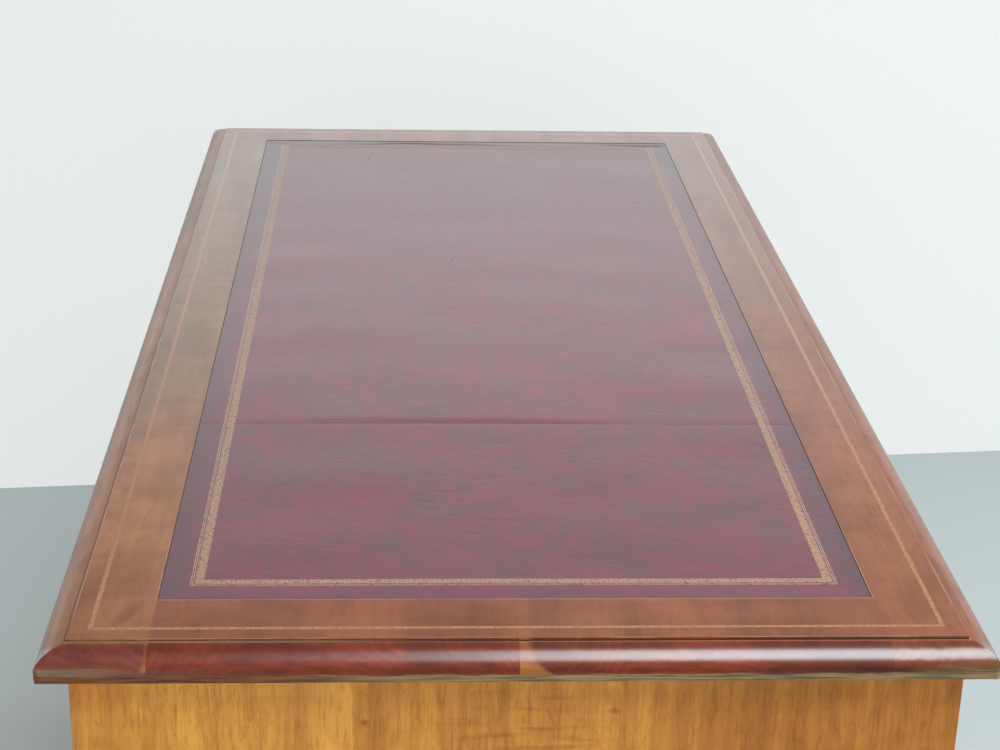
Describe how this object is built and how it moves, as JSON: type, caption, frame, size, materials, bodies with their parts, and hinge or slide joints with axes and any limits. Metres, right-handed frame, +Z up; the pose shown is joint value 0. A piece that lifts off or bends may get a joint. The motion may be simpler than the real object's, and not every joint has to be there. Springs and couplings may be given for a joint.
{
  "type": "kneehole desk",
  "caption": "Wooden kneehole desk with a moulded top, inset tooled-leather writing surface, boxwood stringing, frieze and pedestal drawers with brass bail handles, and plinth bases.",
  "frame": {"origin": "on the floor, under the middle of the top", "axes": "+X along the desk to the sitter's right, +Y from the kneehole side to the panelled back, +Z up"},
  "size_m": [1.22, 0.593, 0.77],
  "materials": {
    "top_walnut": "polished, worn satin",
    "case_walnut": "waxed satin",
    "drawer_walnut": "polished satin",
    "inner_pine": "bare, dry",
    "boxwood": "polished satin",
    "writing_leather": "aged, waxed, gilt-tooled",
    "handle_brass": "aged, hand-polished",
    "screw_steel": "dull"
  },
  "bodies": {
    "carcass": {"top_plank_front": "top_walnut", "top_plank_mid_front": "top_walnut", "top_plank_mid_back": "top_walnut", "top_plank_back": "top_walnut", "boxwood_stringing": "boxwood", "leather_inset": "writing_leather", "top_screws": "screw_steel", "left_end_panel": "case_walnut", "right_end_panel": "case_walnut", "left_kneehole_side": "case_walnut", "right_kneehole_side": "case_walnut", "top_rails_and_kickers": "case_walnut", "drawer_blades": "case_walnut", "pedestal_bottoms": "inner_pine", "kneehole_ceiling": "case_walnut", "drawer_runners": "inner_pine", "drawer_stops": "inner_pine", "back_frame": "case_walnut", "back_panels": "case_walnut", "left_plinth": "case_walnut", "right_plinth": "case_walnut", "plinth_corner_blocks": "inner_pine"},
    "drawer_frieze_left": {"frieze_left_front": "drawer_walnut", "frieze_left_box": "inner_pine", "frieze_left_brass": "handle_brass"},
    "handle_frieze_left": {"frieze_left_bail": "handle_brass"},
    "drawer_left_upper": {"left_upper_front": "drawer_walnut", "left_upper_box": "inner_pine", "left_upper_brass": "handle_brass"},
    "handle_left_upper": {"left_upper_bail": "handle_brass"},
    "drawer_left_middle": {"left_middle_front": "drawer_walnut", "left_middle_box": "inner_pine", "left_middle_brass": "handle_brass"},
    "handle_left_middle": {"left_middle_bail": "handle_brass"},
    "drawer_left_lower": {"left_lower_front": "drawer_walnut", "left_lower_box": "inner_pine", "left_lower_brass": "handle_brass"},
    "handle_left_lower": {"left_lower_bail": "handle_brass"},
    "drawer_frieze_right": {"frieze_right_front": "drawer_walnut", "frieze_right_box": "inner_pine", "frieze_right_brass": "handle_brass"},
    "handle_frieze_right": {"frieze_right_bail": "handle_brass"},
    "drawer_right_upper": {"right_upper_front": "drawer_walnut", "right_upper_box": "inner_pine", "right_upper_brass": "handle_brass"},
    "handle_right_upper": {"right_upper_bail": "handle_brass"},
    "drawer_right_middle": {"right_middle_front": "drawer_walnut", "right_middle_box": "inner_pine", "right_middle_brass": "handle_brass"},
    "handle_right_middle": {"right_middle_bail": "handle_brass"},
    "drawer_right_lower": {"right_lower_front": "drawer_walnut", "right_lower_box": "inner_pine", "right_lower_brass": "handle_brass"},
    "handle_right_lower": {"right_lower_bail": "handle_brass"},
    "drawer_frieze_centre": {"frieze_centre_front": "drawer_walnut", "frieze_centre_box": "inner_pine", "frieze_centre_brass": "handle_brass"},
    "handle_frieze_centre_left": {"frieze_centre_bail_left": "handle_brass"},
    "handle_frieze_centre_right": {"frieze_centre_bail_right": "handle_brass"},
    "lock_bolt": {"lock_bolt": "handle_brass"}
  },
  "joints": [
    {"name": "frieze_left_drawer_slide", "type": "slide", "parent": "carcass", "child": "drawer_frieze_left", "axis": [0, -1, 0], "range_m": [0, 0.34]},
    {"name": "frieze_left_bail_swing", "type": "hinge", "parent": "drawer_frieze_left", "child": "handle_frieze_left", "pos_m": [-0.416, -0.2895, 0.682], "axis": [-1, 0, 0], "range_deg": [0, 110]},
    {"name": "left_upper_drawer_slide", "type": "slide", "parent": "carcass", "child": "drawer_left_upper", "axis": [0, -1, 0], "range_m": [0, 0.34]},
    {"name": "left_upper_bail_swing", "type": "hinge", "parent": "drawer_left_upper", "child": "handle_left_upper", "pos_m": [-0.416, -0.2895, 0.53825], "axis": [-1, 0, 0], "range_deg": [0, 110]},
    {"name": "left_middle_drawer_slide", "type": "slide", "parent": "carcass", "child": "drawer_left_middle", "axis": [0, -1, 0], "range_m": [0, 0.34]},
    {"name": "left_middle_bail_swing", "type": "hinge", "parent": "drawer_left_middle", "child": "handle_left_middle", "pos_m": [-0.416, -0.2895, 0.37378], "axis": [-1, 0, 0], "range_deg": [0, 110]},
    {"name": "left_lower_drawer_slide", "type": "slide", "parent": "carcass", "child": "drawer_left_lower", "axis": [0, -1, 0], "range_m": [0, 0.34]},
    {"name": "left_lower_bail_swing", "type": "hinge", "parent": "drawer_left_lower", "child": "handle_left_lower", "pos_m": [-0.416, -0.2895, 0.19303], "axis": [-1, 0, 0], "range_deg": [0, 110]},
    {"name": "frieze_right_drawer_slide", "type": "slide", "parent": "carcass", "child": "drawer_frieze_right", "axis": [0, -1, 0], "range_m": [0, 0.34]},
    {"name": "frieze_right_bail_swing", "type": "hinge", "parent": "drawer_frieze_right", "child": "handle_frieze_right", "pos_m": [0.416, -0.2895, 0.682], "axis": [-1, 0, 0], "range_deg": [0, 110]},
    {"name": "right_upper_drawer_slide", "type": "slide", "parent": "carcass", "child": "drawer_right_upper", "axis": [0, -1, 0], "range_m": [0, 0.34]},
    {"name": "right_upper_bail_swing", "type": "hinge", "parent": "drawer_right_upper", "child": "handle_right_upper", "pos_m": [0.416, -0.2895, 0.53825], "axis": [-1, 0, 0], "range_deg": [0, 110]},
    {"name": "right_middle_drawer_slide", "type": "slide", "parent": "carcass", "child": "drawer_right_middle", "axis": [0, -1, 0], "range_m": [0, 0.34]},
    {"name": "right_middle_bail_swing", "type": "hinge", "parent": "drawer_right_middle", "child": "handle_right_middle", "pos_m": [0.416, -0.2895, 0.37378], "axis": [-1, 0, 0], "range_deg": [0, 110]},
    {"name": "right_lower_drawer_slide", "type": "slide", "parent": "carcass", "child": "drawer_right_lower", "axis": [0, -1, 0], "range_m": [0, 0.34]},
    {"name": "right_lower_bail_swing", "type": "hinge", "parent": "drawer_right_lower", "child": "handle_right_lower", "pos_m": [0.416, -0.2895, 0.19303], "axis": [-1, 0, 0], "range_deg": [0, 110]},
    {"name": "frieze_centre_drawer_slide", "type": "slide", "parent": "carcass", "child": "drawer_frieze_centre", "axis": [0, -1, 0], "range_m": [0, 0.34]},
    {"name": "frieze_centre_bail_left_swing", "type": "hinge", "parent": "drawer_frieze_centre", "child": "handle_frieze_centre_left", "pos_m": [-0.14, -0.2895, 0.682], "axis": [-1, 0, 0], "range_deg": [0, 110]},
    {"name": "frieze_centre_bail_right_swing", "type": "hinge", "parent": "drawer_frieze_centre", "child": "handle_frieze_centre_right", "pos_m": [0.14, -0.2895, 0.682], "axis": [-1, 0, 0], "range_deg": [0, 110]},
    {"name": "lock_bolt_slide", "type": "slide", "parent": "drawer_frieze_centre", "child": "lock_bolt", "axis": [0, 0, 1], "range_m": [0, 0.007]}
  ]
}
